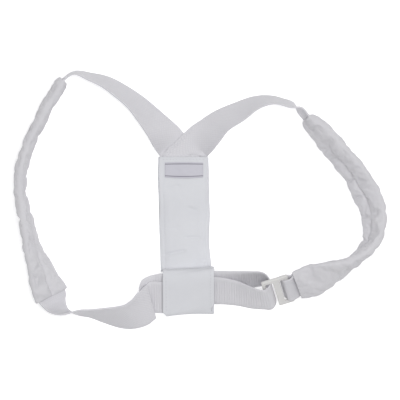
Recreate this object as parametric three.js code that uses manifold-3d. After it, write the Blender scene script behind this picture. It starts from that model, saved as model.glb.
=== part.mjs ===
import * as THREE from "three";
import { mergeVertices } from "three/addons/utils/BufferGeometryUtils.js";
import Module from "manifold-3d";

// A white posture corrector lying open on a table, back of the spine panel down.
// Lengths are millimetres and angles are degrees. The table is the plane z = 0,
// +Y runs up the spine, and the straps' centre lines are shares of the four spans.

const leftSpan = 189;
const rightSpan = 219;
const topRise = 160;
const lowDrop = 120;

// Webbing and elastic are tape of one width.
const tapeWidth = 38;
const webbingThick = 2;
const elasticThick = 1.8;
const layerGap = 0.3;

// The pads are quilted sleeves, two filled tubes with a flat channel between them.
const padSeam = 3.75;
const padFilling = 6.5;
const padWidth = tapeWidth + 2 * padSeam;
const padThick = webbingThick + 2 * padFilling;
const padChannelShare = 0.58;
const padEndRound = 7;
const slotGap = 0.75;
// The right strap's tail lies this far into its pad, where the slot is deeper.
const tailInPad = 30;
const tailRoomFade = 12;

// The spine panel is just wide enough for both straps where they cross at 45 degrees.
const panelLayer = 1.5;
const panelThick = 5;
const panelHem = 1.85;
const pocketDepth = 10.5;
const strapInPocket = 7.5;
const panelWidth = tapeWidth * Math.SQRT2 + 2 * (slotGap + panelHem);

// The keeper is the panel's lower end, folded up over both layers of the elastic.
const flapThick = 2;
const flapRoom = 1;
const foldRoomLeft = 3.8;
const foldRoomRight = 10.6;
const foldRadius = 2.9;
const toeLength = 1.5;
const flapShift = 5.2;

const labelSize = { wide: 44, high: 17, thick: 0.6 };
const labelDrop = 6.6;

// The hook's frame lies across the tape, its lower arm on the table.
const hookThick = 4;
const hookArm = 4.7;
const hookMidBar = 8;
const hookEndBar = 5;
const hookOpenBar = 4;
const hookWebbingSlot = 5.5;
const hookElasticSlot = 9;
const hookSlotSpare = 1.6;
const hookCorner = 3;
const hookEdge = 0.8;
const hookHeading = 17.5;
const hookTilt = 51;

const bandStep = 8;

const radians = THREE.MathUtils.degToRad;
const west = (share) => -share * leftSpan;
const east = (share) => share * rightSpan;
const north = (share) => share * topRise;
const south = (share) => -share * lowDrop;
const up = new THREE.Vector3(0, 0, 1);

const panelTop = north(0.397);
const panelEnd = south(0.573);
const pocketBase = panelLayer;
const leftStrapBase = pocketBase + layerGap;
const rightStrapBase = leftStrapBase + webbingThick + layerGap;
const pocketRoof = rightStrapBase + webbingThick + layerGap;
const mouthThick = pocketRoof + panelLayer;
const flapLeft = flapShift - panelWidth / 2;
const flapRight = flapShift + panelWidth / 2;
const onFloor = elasticThick / 2 + 0.05;
const onFlap = flapThick + layerGap + elasticThick / 2;
// The hook's lower arm holds the elastic's end this far above the table.
const hookLift = (hookArm + hookSlotSpare / 2) * Math.sin(radians(hookTilt));

function table(columns, rows) {
  return rows.map((row) => Object.fromEntries(columns.map((name, index) => [name, row[index]])));
}

// Tilt is how far the tape leans about its lower edge: 0 lies flat with its outer face up,
// 90 stands on edge, more than 90 shows its inner face. Lift is a share of the strap's base
// height in the panel. Padded is 1 where the tape runs inside its pad.
const routeColumns = ["x", "y", "tilt", "skew", "lift", "padded"];

const leftRoute = {
  inward: 1,
  base: leftStrapBase,
  rows: table(routeColumns, [
    [0, panelTop - strapInPocket, 0, 0, 1, 0],
    [0, panelTop, 0, 45, 1, 0],
    [west(0.04), north(0.442), 0, 22, 1, 0],
    [west(0.077), north(0.489), 0, 0, 1, 0],
    [west(0.154), north(0.605), 33, 0, 0.3, 0],
    [west(0.286), north(0.775), 55, 0, 0, 0],
    [west(0.397), north(0.876), 63, 0, 0, 0],
    [west(0.48), north(0.935), 69, 0, 0, 0],
    [west(0.567), north(0.97), 76, 0, 0, 0],
    [west(0.664), north(1), 84, 0, 0, 0],
    [west(0.733), north(0.949), 85, 0, 0, 1],
    [west(0.773), north(0.875), 84, 0, 0, 1],
    [west(0.828), north(0.769), 85, 0, 0, 1],
    [west(0.872), north(0.658), 88, 0, 0, 1],
    [west(0.925), north(0.537), 90, 0, 0, 1],
    [west(0.961), north(0.431), 90, 0, 0, 1],
    [west(0.992), north(0.28), 90, 0, 0, 1],
    [west(0.995), north(0.158), 91, 0, 0, 1],
    [west(0.981), north(0.055), 92, 0, 0, 1],
    [west(0.961), south(0.079), 97, 0, 0, 1],
    [west(0.937), south(0.243), 102, 0, 0, 1],
    [west(0.917), south(0.355), 109, 0, 0, 1],
    [west(0.883), south(0.494), 121, 0, 0, 1],
    [west(0.86), south(0.589), 130, 0, 0, 1],
    [west(0.846), south(0.671), 138, 0, 0, 1],
    [west(0.818), south(0.759), 147, 0, 0, 1],
    [west(0.803), south(0.807), 149, 0, 0, 1],
    [west(0.778), south(0.88), 132, 0, 0, 0],
    [west(0.736), south(0.939), 108, 0, 0, 0],
    [west(0.691), south(0.96), 91, 0, 0, 0],
    [west(0.633), south(0.965), 80, 0, 0, 0],
    [west(0.572), south(0.971), 76, 0, 0, 0],
    [west(0.481), south(0.99), 63, 0, 0, 0],
    [west(0.389), south(1.004), 49, 0, 0.3, 0],
    [west(0.329), south(0.998), 39, 0, 0.8, 0],
    [west(0.274), south(0.961), 27, 10, 1.2, 0],
    [west(0.231), south(0.903), 20, 22, 1.35, 0],
    [west(0.198), south(0.855), 19, 26, 1.35, 0],
  ]),
  padFrom: 10,
  padTo: 26,
};

const rightRoute = {
  inward: -1,
  base: rightStrapBase,
  rows: table(routeColumns, [
    [0, panelTop - strapInPocket, 0, 0, 1, 0],
    [0, panelTop, 0, 45, 1, 0],
    [east(0.032), north(0.442), 0, 22, 1, 0],
    [east(0.062), north(0.485), 0, 0, 1, 0],
    [east(0.129), north(0.572), 28, 0, 0.6, 0],
    [east(0.194), north(0.652), 45, 0, 0.15, 0],
    [east(0.282), north(0.716), 53, 0, 0, 0],
    [east(0.359), north(0.774), 64, 0, 0, 0],
    [east(0.419), north(0.799), 71, 0, 0, 0],
    [east(0.47), north(0.804), 76, 0, 0, 0],
    [east(0.515), north(0.791), 78, 0, 0, 0],
    [east(0.567), north(0.768), 79, 0, 0, 0],
    [east(0.609), north(0.732), 99, 0, 0, 0],
    [east(0.643), north(0.676), 100, 0, 0, 1],
    [east(0.689), north(0.611), 109, 0, 0, 1],
    [east(0.727), north(0.557), 116, 0, 0, 1],
    [east(0.766), north(0.495), 116, 0, 0, 1],
    [east(0.81), north(0.419), 118, 0, 0, 1],
    [east(0.85), north(0.358), 119, 0, 0, 1],
    [east(0.895), north(0.279), 120, 0, 0, 1],
    [east(0.926), north(0.205), 124, 0, 0, 1],
    [east(0.959), north(0.126), 129, 0, 0, 1],
    [east(0.985), north(0.041), 126, 0, 0, 1],
    [east(0.997), south(0.048), 121, 0, 0, 1],
    [east(0.997), south(0.153), 116, 0, 0, 1],
    [east(0.988), south(0.24), 109, 0, 0, 1],
    [east(0.971), south(0.31), 103, 0, 0, 1],
    [east(0.94), south(0.386), 95, 0, 0, 1],
    [east(0.904), south(0.452), 86, 0, 0, 1],
    [east(0.866), south(0.499), 80, 0, 0, 1],
    [east(0.824), south(0.536), 72, 0, 0, 1],
    [east(0.772), south(0.58), 60, 0, 0, 1],
    [east(0.71), south(0.627), 45, 0, 0, 1],
    [east(0.667), south(0.656), 37, 0, 0, 1],
    [east(0.621), south(0.684), 42, 0, 0, 1],
    [east(0.591), south(0.705), 49, 0, 0, 1],
  ]),
  padFrom: 13,
  padTo: 35,
};

// Each dent sinks one face of one filled tube of a pad. Along and reach are shares of the
// pad's length, depth is a share of its half thickness, tube is 1 at the raised edge and -1
// at the lower one, and face is 1 on the outside of the loop and -1 on its inside.
const dentColumns = ["along", "tube", "face", "depth", "reach"];

const leftDents = table(dentColumns, [
  [0.14, 1, -1, 0.3, 0.03],
  [0.34, 1, 1, 0.3, 0.03],
  [0.38, 1, -1, 0.25, 0.03],
  [0.55, -1, 1, 0.25, 0.04],
  [0.73, 1, 1, 0.35, 0.025],
  [0.86, -1, -1, 0.25, 0.03],
]);

const rightDents = table(dentColumns, [
  [0.14, 1, -1, 0.35, 0.025],
  [0.2, -1, -1, 0.4, 0.025],
  [0.26, 1, -1, 0.35, 0.02],
  [0.36, 1, -1, 0.35, 0.025],
  [0.46, -1, -1, 0.35, 0.03],
  [0.58, 1, -1, 0.3, 0.03],
  [0.72, 1, 1, 0.3, 0.03],
  [0.84, 1, 1, 0.25, 0.03],
]);

// The elastic is one closed band. X and y place its raised edge, lean is how steeply it
// rises from its lower edge, and bearing is the direction in which it rises.
const elasticRows = table(["x", "y", "lean", "bearing", "foot"], [
  [east(0.399), south(0.747), 54, 99, onFloor + 0.65 * hookLift],
  [east(0.341), south(0.709), 48, 93, onFloor + 0.2 * hookLift],
  [east(0.268), south(0.656), 41, 91, onFloor],
  [flapRight, south(0.622), 34, 90, onFlap],
  [flapShift, south(0.642), 25, 90, onFlap],
  [flapLeft, south(0.666), 17, 91, onFlap],
  [west(0.201), south(0.666), 17, 91, onFloor],
  [west(0.231), south(0.7), 17, 95, onFloor],
  [west(0.256), south(0.752), 18, 100, onFloor],
  [west(0.269), south(0.771), 18.5, 102, onFloor],
  [west(0.273), south(0.743), 19, 102, onFloor],
  [west(0.269), south(0.704), 19, 101, onFloor],
  [west(0.256), south(0.656), 18.5, 99, onFloor],
  [west(0.225), south(0.623), 17.5, 96, onFloor],
  [west(0.183), south(0.602), 17, 93, onFloor],
  [flapLeft, south(0.59), 17.5, 90, onFlap],
  [flapShift, south(0.579), 25.5, 90, onFlap],
  [flapRight, south(0.567), 35, 90, onFlap],
  [east(0.268), south(0.567), 50, 91, onFloor],
  [east(0.341), south(0.567), 58, 93, onFloor],
  [east(0.404), south(0.573), 64, 99, onFloor],
  [east(0.436), south(0.607), 58, 106, onFloor + 0.25 * hookLift],
  [east(0.451), south(0.661), 53, 107.5, onFloor + 0.7 * hookLift],
  [east(0.446), south(0.707), 51, 107.5, onFloor + hookLift],
  [east(0.428), south(0.741), 51, 106, onFloor + hookLift],
]);
const frontAtFlap = { right: 3, left: 5 };
const backAtFlap = { left: 15, right: 17 };

// The panel's outline drifts a little to the right as it goes down.
const panelRows = table(["down", "sway", "width", "height", "flat"], [
  [0, -0.012, 0.98, mouthThick, 1],
  [0.03, -0.012, 1, mouthThick, 1],
  [0.09, -0.008, 1, mouthThick, 1],
  [0.22, 0.002, 0.99, mouthThick * 0.97, 0.6],
  [0.34, 0.012, 0.99, panelThick * 1.2, 0],
  [0.5, 0.006, 0.98, panelThick, 0],
  [0.7, 0.01, 0.96, panelThick, 0],
  [0.86, 0.028, 0.98, panelThick, 0],
  [1, 0.045, 1, panelThick, 0],
]);

// Smooth value of one column between its rows, where at counts rows.
function valueAt(rows, at, column, closed = false) {
  const last = rows.length - 1;
  const floor = closed ? Math.floor(at) : Math.min(Math.max(Math.floor(at), 0), last - 1);
  const share = at - floor;
  const pick = (index) => {
    const row = closed ? (index + rows.length * 2) % rows.length : Math.min(Math.max(index, 0), last);
    return rows[row][column];
  };
  const [before, from, to, after] = [-1, 0, 1, 2].map((offset) => pick(floor + offset));
  const bend = 2 * before - 5 * from + 4 * to - after;
  const curl = 3 * from - before - 3 * to + after;
  return 0.5 * (2 * from + (to - before) * share + bend * share ** 2 + curl * share ** 3);
}

// Row positions spaced about one step apart along the rows.
function spread(rows, from, to, step, closed = false) {
  const positions = [];
  for (let row = from; row < to; row += 1) {
    const start = rows[row];
    const end = rows[(row + 1) % rows.length];
    const parts = Math.max(1, Math.round(Math.hypot(end.x - start.x, end.y - start.y) / step));
    for (let part = 0; part < parts; part += 1) {
      positions.push(row + part / parts);
    }
  }
  if (!closed) positions.push(to);
  return positions;
}

// Middle of a strap, which rests on the table with its edge, or with its pad's edge.
function strapCentre(route, at) {
  const value = (column) => valueAt(route.rows, at, column);
  const tilt = radians(value("tilt"));
  const padded = THREE.MathUtils.clamp(value("padded"), 0, 1);
  const halfWidth = THREE.MathUtils.lerp(tapeWidth, padWidth, padded) / 2;
  const halfThick = THREE.MathUtils.lerp(webbingThick, padThick, padded) / 2;
  const height = halfWidth * Math.sin(tilt) + halfThick * Math.abs(Math.cos(tilt));
  return new THREE.Vector3(value("x"), value("y"), value("lift") * route.base + height);
}

// Frame and half width of a strap at one row position, its normal pointing out of the loop.
function strapAt(route, at) {
  const value = (column) => valueAt(route.rows, at, column);
  const along = strapCentre(route, at + 0.05).sub(strapCentre(route, at - 0.05)).setZ(0).normalize();
  const inside = new THREE.Vector3(-along.y, along.x, 0).multiplyScalar(route.inward);
  const tilt = radians(value("tilt"));
  const skew = radians(value("skew"));
  const square = inside.multiplyScalar(Math.cos(tilt)).addScaledVector(up, Math.sin(tilt));
  const normal = along.clone().cross(square).multiplyScalar(route.inward);
  const across = square.clone().multiplyScalar(Math.cos(skew)).addScaledVector(along, Math.sin(skew));
  return { centre: strapCentre(route, at), square, normal, across, reach: tapeWidth / 2 / Math.cos(skew) };
}

function edges(station) {
  return {
    foot: station.centre.clone().addScaledVector(station.across, -station.reach),
    rim: station.centre.clone().addScaledVector(station.across, station.reach),
  };
}

// A closed solid from flat lists, with its faces turned outwards.
function solidGeometry(points, faces) {
  let volume = 0;
  for (const [a, b, c] of faces) {
    volume += points[a].dot(points[b].clone().cross(points[c]));
  }
  const turned = volume < 0 ? faces.map(([a, b, c]) => [a, c, b]) : faces;
  const geometry = new THREE.BufferGeometry().setFromPoints(points);
  geometry.setIndex(turned.flat());
  geometry.computeVertexNormals();
  return geometry;
}

// Side faces between rings of equal length, whose points start at one offset.
function ringFaces(ringCount, ringLength, offset, closed, reversed = false) {
  const faces = [];
  const lastRing = closed ? ringCount : ringCount - 1;
  for (let ring = 0; ring < lastRing; ring += 1) {
    for (let side = 0; side < ringLength; side += 1) {
      const a = offset + ring * ringLength + side;
      const b = offset + ring * ringLength + ((side + 1) % ringLength);
      const c = offset + ((ring + 1) % ringCount) * ringLength + side;
      const d = offset + ((ring + 1) % ringCount) * ringLength + ((side + 1) % ringLength);
      faces.push(...(reversed ? [[a, c, b], [b, c, d]] : [[a, b, c], [b, d, c]]));
    }
  }
  return faces;
}

// Triangles that close a ring's outline, turned with its order of points or against it.
function capFaces(outline, holes, withOutline) {
  const flat = (pairs) => pairs.map(([a, n]) => new THREE.Vector2(a, n));
  const points = [outline, ...holes].flatMap(flat);
  const sense = Math.sign(THREE.ShapeUtils.area(flat(outline))) * (withOutline ? 1 : -1);
  return THREE.ShapeUtils.triangulateShape(flat(outline), holes.map(flat)).map(([a, b, c]) => {
    const turn = THREE.ShapeUtils.area([points[a], points[b], points[c]]);
    return turn * sense > 0 ? [a, b, c] : [a, c, b];
  });
}

// A strip of tape or cloth between two edges, of one thickness.
function bandGeometry(stations, thick, closed = false, spans = 3) {
  const middle = stations.map(({ foot, rim }) =>
    Array.from({ length: spans + 1 }, (_, index) => foot.clone().lerp(rim, index / spans)));
  const count = stations.length;
  const rings = stations.map(({ foot, rim }, index) => {
    const before = middle[closed ? (index + count - 1) % count : Math.max(index - 1, 0)];
    const after = middle[closed ? (index + 1) % count : Math.min(index + 1, count - 1)];
    const across = rim.clone().sub(foot);
    const normals = middle[index].map((_, place) =>
      after[place].clone().sub(before[place]).cross(across).normalize());
    const outer = middle[index].map((point, place) =>
      point.clone().addScaledVector(normals[place], thick / 2));
    const inner = middle[index].map((point, place) =>
      point.clone().addScaledVector(normals[place], -thick / 2));
    return [...outer, ...inner.reverse()];
  });
  const length = 2 * (spans + 1);
  const faces = ringFaces(count, length, 0, closed);
  if (!closed) {
    const end = (count - 1) * length;
    for (let span = 0; span < spans; span += 1) {
      const [a, b, c, d] = [span, span + 1, length - 2 - span, length - 1 - span];
      faces.push([a, c, b], [a, d, c], [end + a, end + b, end + c], [end + a, end + c, end + d]);
    }
  }
  return solidGeometry(rings.flat(), faces);
}

// A hollow sleeve from outer and inner outlines, drawn at each frame as [across, normal] pairs.
function sleeveGeometry(frames, outerOutlines, innerOutlines, inward) {
  const place = ({ centre, across, normal }, [a, n]) =>
    centre.clone().addScaledVector(across, a).addScaledVector(normal, n);
  const outer = frames.flatMap((frame, index) => outerOutlines[index].map((pair) => place(frame, pair)));
  const inner = frames.flatMap((frame, index) => innerOutlines[index].map((pair) => place(frame, pair)));
  const outerLength = outerOutlines[0].length;
  const innerLength = innerOutlines[0].length;
  const faces = [
    ...ringFaces(frames.length, outerLength, 0, false),
    ...ringFaces(frames.length, innerLength, outer.length, false, inward > 0),
  ];
  for (const ring of [0, frames.length - 1]) {
    const index = (corner) => (corner < outerLength
      ? ring * outerLength + corner
      : outer.length + ring * innerLength + corner - outerLength);
    const ends = capFaces(outerOutlines[ring], [innerOutlines[ring]], ring > 0);
    faces.push(...ends.map((corners) => corners.map(index)));
  }
  return solidGeometry([...outer, ...inner], faces);
}

// Frames along a pad, each with the direction out of the loop as its normal.
function padFrames(route) {
  const positions = spread(route.rows, route.padFrom, route.padTo, bandStep);
  return positions.map((at) => {
    const { centre, square, normal } = strapAt(route, at);
    return { centre, across: square, normal };
  });
}

// Distance of each frame from the pad's first one, as a share of the pad's length.
function alongShares(frames) {
  const lengths = frames.map((frame, index) =>
    (index === 0 ? 0 : frame.centre.distanceTo(frames[index - 1].centre)));
  let total = 0;
  const reached = lengths.map((length) => (total += length));
  return { shares: reached.map((length) => length / total), total };
}

// Half of the pad's outline: how thick it is at a share of its half width.
function tubeShare(width, channel) {
  const fromTube = (Math.abs(width) - 0.5) / 0.5;
  const round = Math.sqrt(Math.max(0, 1 - fromTube ** 2));
  return Math.abs(width) < 0.5 ? channel + (1 - channel) * round : round;
}

const widthShares = [-1, -0.93, -0.75, -0.5, -0.25, 0, 0.25, 0.5, 0.75, 0.93, 1];

function padOutline(along, total, dents, channel, ends) {
  const fromEnd = Math.min(along, 1 - along) * total;
  const thinnest = along < 0.5 ? ends.first : ends.last;
  const rise = Math.sqrt(1 - (1 - Math.min(1, fromEnd / padEndRound)) ** 2);
  const endShare = THREE.MathUtils.lerp(thinnest, 1, rise);
  const edge = (width, face) => {
    let share = tubeShare(width, channel) * endShare;
    for (const dent of dents) {
      const near = Math.exp(-(((along - dent.along) / dent.reach) ** 2));
      const onTube = Math.max(0, 1 - Math.abs(width - dent.tube * 0.5) * 1.6);
      if (face === dent.face) share *= 1 - dent.depth * near * onTube;
    }
    return [width * padWidth / 2, face * share * padThick / 2];
  };
  const front = widthShares.map((width) => edge(width, 1));
  const back = widthShares.slice(1, -1).reverse().map((width) => edge(width, -1));
  return [...front, ...back];
}

// The slot that the webbing runs through, deeper behind it where the webbing's tail lies too.
// Its outline starts on the side on which the webbing's own rings start.
function slotOutline(tailShare, inward) {
  const half = tapeWidth / 2 + slotGap;
  const front = webbingThick / 2 + slotGap;
  const back = -front - tailShare * (webbingThick + layerGap);
  const [first, second] = inward > 0 ? [front, back] : [back, front];
  const row = [-half, -half / 3, half / 3, half];
  return [...row.map((a) => [a, first]), ...row.map((a) => [a, second]).reverse()];
}

const hookSlotHalf = (tapeWidth + hookSlotSpare) / 2;
const hookHalf = hookSlotHalf + hookArm;
const hookCentre = new THREE.Vector3(
  east(0.498),
  south(0.759),
  hookHalf * Math.sin(radians(hookTilt)) + (hookThick / 2) * Math.cos(radians(hookTilt)) + 0.05,
);
const hookAlong = new THREE.Vector3(Math.cos(radians(hookHeading)), Math.sin(radians(hookHeading)), 0);
const hookAcross = new THREE.Vector3(-hookAlong.y, hookAlong.x, 0)
  .multiplyScalar(Math.cos(radians(hookTilt)))
  .addScaledVector(up, Math.sin(radians(hookTilt)));
const hookFront = hookAlong.clone().cross(hookAcross);
const hookPoint = (along, front) =>
  hookCentre.clone().addScaledVector(hookAlong, along).addScaledVector(hookFront, front);

// Where the hook's bars lie along the tape, from the middle of its mid bar.
const slotStart = hookMidBar / 2;
const slotEnd = slotStart + hookWebbingSlot;
const frameEnd = slotEnd + hookEndBar;
const openBarInner = -hookMidBar / 2 - hookElasticSlot;
const openBarOuter = openBarInner - hookOpenBar;
const padAtHook = new THREE.Vector3(east(0.591), south(0.705), 0)
  .sub(new THREE.Vector3(hookCentre.x, hookCentre.y, 0)).dot(hookAlong);

// The right strap comes in front of the hook's end bar, round it and back behind itself.
function turnStations() {
  const wrap = hookThick / 2 + layerGap + webbingThick / 2 + 0.1;
  const meet = (webbingThick + layerGap) / 2;
  const turnX = slotEnd - layerGap - webbingThick / 2 - 0.3;
  const between = (padAtHook + frameEnd) / 2;
  const places = [
    [between, (wrap + meet) / 2],
    [frameEnd, wrap],
    [slotEnd + 1, wrap],
    [slotEnd - 0.7, wrap * 0.9],
    [turnX, wrap * 0.5],
    [turnX, -wrap * 0.5],
    [slotEnd - 0.7, -wrap * 0.9],
    [slotEnd + 1, -wrap],
    [frameEnd, -wrap],
    [between, -(wrap + meet) / 2],
  ];
  return places.map(([along, front]) => ({
    centre: hookPoint(along, front),
    across: hookAcross,
    reach: tapeWidth / 2,
  }));
}

// The tail of the right strap, behind the strap inside the end of the pad.
function tailStations() {
  const frames = padFrames(rightRoute);
  return frames.slice(-4).reverse().map(({ centre, across, normal }) => ({
    centre: centre.clone().addScaledVector(normal, -(webbingThick + layerGap)),
    across,
    reach: tapeWidth / 2,
  }));
}

function strapStations(route) {
  const end = route.rows.length - 1;
  return spread(route.rows, 0, end, bandStep).map((at) => strapAt(route, at));
}

function padGeometry(route, dents, channelFade, tailShareAt, ends) {
  const frames = padFrames(route);
  const { shares, total } = alongShares(frames);
  const outlines = shares.map((share) => {
    const channel = THREE.MathUtils.lerp(padChannelShare, 1, channelFade(share));
    return padOutline(share, total, dents, channel, ends);
  });
  const slots = shares.map((share) => slotOutline(tailShareAt(share, total), route.inward));
  return sleeveGeometry(frames, outlines, slots, route.inward);
}

function elasticAt(at) {
  const value = (column) => valueAt(elasticRows, at, column, true);
  const lean = radians(value("lean"));
  const bearing = radians(value("bearing"));
  const across = new THREE.Vector3(
    Math.cos(lean) * Math.cos(bearing),
    Math.cos(lean) * Math.sin(bearing),
    Math.sin(lean),
  );
  const foot = value("foot");
  const rim = new THREE.Vector3(value("x"), value("y"), foot + tapeWidth * Math.sin(lean));
  return { foot: rim.clone().addScaledVector(across, -tapeWidth), rim };
}

// A line through corners that are rounded by curves, each by its own reach along both sides.
function softLine(x, corners) {
  const points = corners.map(([y, z]) => new THREE.Vector3(x, y, z));
  const line = [points[0]];
  for (let index = 1; index < points.length - 1; index += 1) {
    const corner = points[index];
    const [before, after] = [points[index - 1], points[index + 1]].map((side) => {
      const reach = Math.min(corners[index][2], corner.distanceTo(side) * 0.48);
      return corner.clone().addScaledVector(side.clone().sub(corner).normalize(), reach);
    });
    line.push(...new THREE.QuadraticBezierCurve3(before, corner, after).getPoints(4));
  }
  return [...line, points.at(-1)];
}

// The keeper's line in one side view: under the elastic, round the fold, over both layers.
function keeperLine(x, front, back, foldRoom) {
  const half = flapThick / 2;
  const over = elasticThick / 2 + flapRoom + half;
  const foldY = front.foot.y - foldRoom;
  const wallY = back.rim.y + over * 0.95;
  const toeZ = panelThick + layerGap + half;
  return softLine(x, [
    [panelEnd - layerGap, half],
    [foldY, half, foldRadius],
    [foldY, half + 2 * foldRadius, foldRadius],
    [front.rim.y - 1, front.rim.z + over * 1.25, 6],
    [wallY, back.rim.z + over * 1.1, 3.5],
    [wallY + over * 0.3, toeZ, 1.5],
    [wallY + over * 0.3 + toeLength, toeZ],
  ]);
}

function flapGeometry() {
  const left = keeperLine(flapLeft, elasticAt(frontAtFlap.left), elasticAt(backAtFlap.left), foldRoomLeft);
  const right = keeperLine(
    flapRight, elasticAt(frontAtFlap.right), elasticAt(backAtFlap.right), foldRoomRight);
  return bandGeometry(left.map((foot, index) => ({ foot, rim: right[index] })), flapThick, false, 4);
}

const wasm = await Module();
wasm.setup();

function toManifold(geometry) {
  const bare = geometry.clone();
  bare.deleteAttribute("normal");
  bare.deleteAttribute("uv");
  const merged = mergeVertices(bare, 1e-4);
  return new wasm.Manifold(new wasm.Mesh({
    numProp: 3,
    vertProperties: Float32Array.from(merged.attributes.position.array),
    triVerts: Uint32Array.from(merged.index.array),
  }));
}

function fromManifold(solid) {
  const { vertProperties, triVerts } = solid.getMesh();
  const geometry = new THREE.BufferGeometry();
  geometry.setAttribute("position", new THREE.BufferAttribute(Float32Array.from(vertProperties), 3));
  geometry.setIndex(Array.from(triVerts));
  geometry.computeVertexNormals();
  return geometry;
}

// A padded strip with thin hems, boxy where the straps fill it, cut by the straps' pocket.
function panelGeometry() {
  const length = panelTop - panelEnd;
  const shares = [-1, -0.97, -0.9, -0.8, -0.4, 0, 0.4, 0.8, 0.9, 0.97, 1];
  const padded = [0.3, 0.55, 0.62, 0.9, 1, 1, 1, 0.9, 0.62, 0.55, 0.3];
  const boxy = [0.9, 1, 1, 1, 1, 1, 1, 1, 1, 1, 0.9];
  const positions = Array.from({ length: 2 * (panelRows.length - 1) + 1 }, (_, index) => index / 2);
  const rings = positions.map((at) => {
    const value = (column) => valueAt(panelRows, at, column);
    const half = value("width") * panelWidth / 2;
    const middle = value("sway") * panelWidth;
    const y = panelTop - value("down") * length;
    const flat = THREE.MathUtils.clamp(value("flat"), 0, 1);
    const top = shares.map((share, index) => new THREE.Vector3(
      middle + share * half,
      y,
      value("height") * THREE.MathUtils.lerp(padded[index], boxy[index], flat),
    ));
    const bottom = [new THREE.Vector3(middle + half, y, 0), new THREE.Vector3(middle - half, y, 0)];
    return [...top, ...bottom];
  });
  const ringLength = rings[0].length;
  const faces = ringFaces(rings.length, ringLength, 0, false);
  for (const ring of [0, rings.length - 1]) {
    const ends = capFaces(rings[ring].map(({ x, z }) => [x, z]), [], ring > 0);
    faces.push(...ends.map((corners) => corners.map((corner) => corner + ring * ringLength)));
  }
  const body = toManifold(solidGeometry(rings.flat(), faces));
  const pocketWidth = tapeWidth * Math.SQRT2 + 2 * slotGap;
  const pocket = new THREE.BoxGeometry(pocketWidth, 2 * pocketDepth, pocketRoof - pocketBase);
  pocket.translate(0, panelTop, (pocketRoof + pocketBase) / 2);
  return fromManifold(body.subtract(toManifold(pocket)));
}

// Closed outline through corner points, each rounded by its own radius.
function roundedShape(corners) {
  const shape = new THREE.Shape();
  corners.forEach(([x, y, radius], index) => {
    const [px, py] = corners[(index + corners.length - 1) % corners.length];
    const [nx, ny] = corners[(index + 1) % corners.length];
    const back = new THREE.Vector2(px - x, py - y).setLength(radius);
    const ahead = new THREE.Vector2(nx - x, ny - y).setLength(radius);
    if (index === 0) shape.moveTo(x + back.x, y + back.y);
    else shape.lineTo(x + back.x, y + back.y);
    shape.quadraticCurveTo(x, y, x + ahead.x, y + ahead.y);
  });
  shape.closePath();
  return shape;
}

// A frame with a closed slot for the webbing and an open bar that the elastic hangs on.
function hookGeometry() {
  const inset = hookEdge;
  const tip = -hookSlotHalf + 0.5;
  const shape = roundedShape([
    [-slotStart + inset, -hookHalf + inset, hookCorner - inset],
    [frameEnd - inset, -hookHalf + inset, hookCorner - inset],
    [frameEnd - inset, hookHalf - inset, hookCorner - inset],
    [openBarOuter + inset, hookHalf - inset, hookCorner + 1],
    [openBarOuter + inset, tip, 0.8],
    [openBarInner - inset, tip, 0.8],
    [openBarInner - inset, hookSlotHalf + inset, 1.2],
    [-slotStart + inset, hookSlotHalf + inset, 1.2],
  ]);
  shape.holes.push(roundedShape([
    [slotStart - inset, -hookSlotHalf - inset, 1],
    [slotStart - inset, hookSlotHalf + inset, 1],
    [slotEnd + inset, hookSlotHalf + inset, 1],
    [slotEnd + inset, -hookSlotHalf - inset, 1],
  ]));
  const geometry = new THREE.ExtrudeGeometry(shape, {
    depth: hookThick - 2 * hookEdge,
    curveSegments: 4,
    bevelThickness: hookEdge,
    bevelSize: hookEdge,
    bevelSegments: 2,
  });
  geometry.translate(0, 0, hookEdge - hookThick / 2);
  return geometry;
}

function cloth(color, roughness) {
  return new THREE.MeshStandardMaterial({ color, roughness, metalness: 0 });
}

const brace = new THREE.Group();

function add(name, geometry, material) {
  const mesh = new THREE.Mesh(geometry, material);
  mesh.name = name;
  brace.add(mesh);
  return mesh;
}

add("spine_panel", panelGeometry(), cloth(0xe4e2ea, 0.9));
add("keeper_flap", flapGeometry(), cloth(0xe2e0e9, 0.9));

const leftStations = strapStations(leftRoute).map(edges);
add("shoulder_strap_left", bandGeometry(leftStations, webbingThick), cloth(0xdcdbe2, 0.85));

const rightStations = [...strapStations(rightRoute), ...turnStations(), ...tailStations()].map(edges);
add("shoulder_strap_right", bandGeometry(rightStations, webbingThick), cloth(0xdcdbe2, 0.85));

const keepsChannel = () => 0;
const losesChannel = (share) => THREE.MathUtils.smoothstep(share, 0.7, 0.85);
const noTail = () => 0;
const tailAtEnd = (share, total) => {
  const fromEnd = total * (1 - share);
  return 1 - THREE.MathUtils.smoothstep(fromEnd, tailInPad, tailInPad + tailRoomFade);
};
const leftPad = padGeometry(leftRoute, leftDents, keepsChannel, noTail, { first: 0.6, last: 0.6 });
const rightPad = padGeometry(rightRoute, rightDents, losesChannel, tailAtEnd, { first: 0.6, last: 0.95 });
add("shoulder_pad_left", leftPad, cloth(0xe3e2ea, 0.9));
add("shoulder_pad_right", rightPad, cloth(0xe3e2ea, 0.9));

const elasticPlaces = spread(elasticRows, 0, elasticRows.length, bandStep, true);
add("elastic_loop", bandGeometry(elasticPlaces.map(elasticAt), elasticThick, true), cloth(0xd9d8df, 0.8));

const hook = add("hook_buckle", hookGeometry(), new THREE.MeshStandardMaterial({
  color: 0xdadbd8,
  roughness: 0.4,
  metalness: 0,
}));
hook.position.copy(hookCentre);
hook.quaternion.setFromRotationMatrix(new THREE.Matrix4().makeBasis(hookAlong, hookAcross, hookFront));

const label = add(
  "label",
  new THREE.BoxGeometry(labelSize.wide, labelSize.high, labelSize.thick),
  cloth(0xc6c4d0, 0.7),
);
label.position.set(
  0,
  panelTop - labelDrop - labelSize.high / 2,
  mouthThick + layerGap + labelSize.thick / 2,
);

export default brace;
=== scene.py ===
import math

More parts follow.
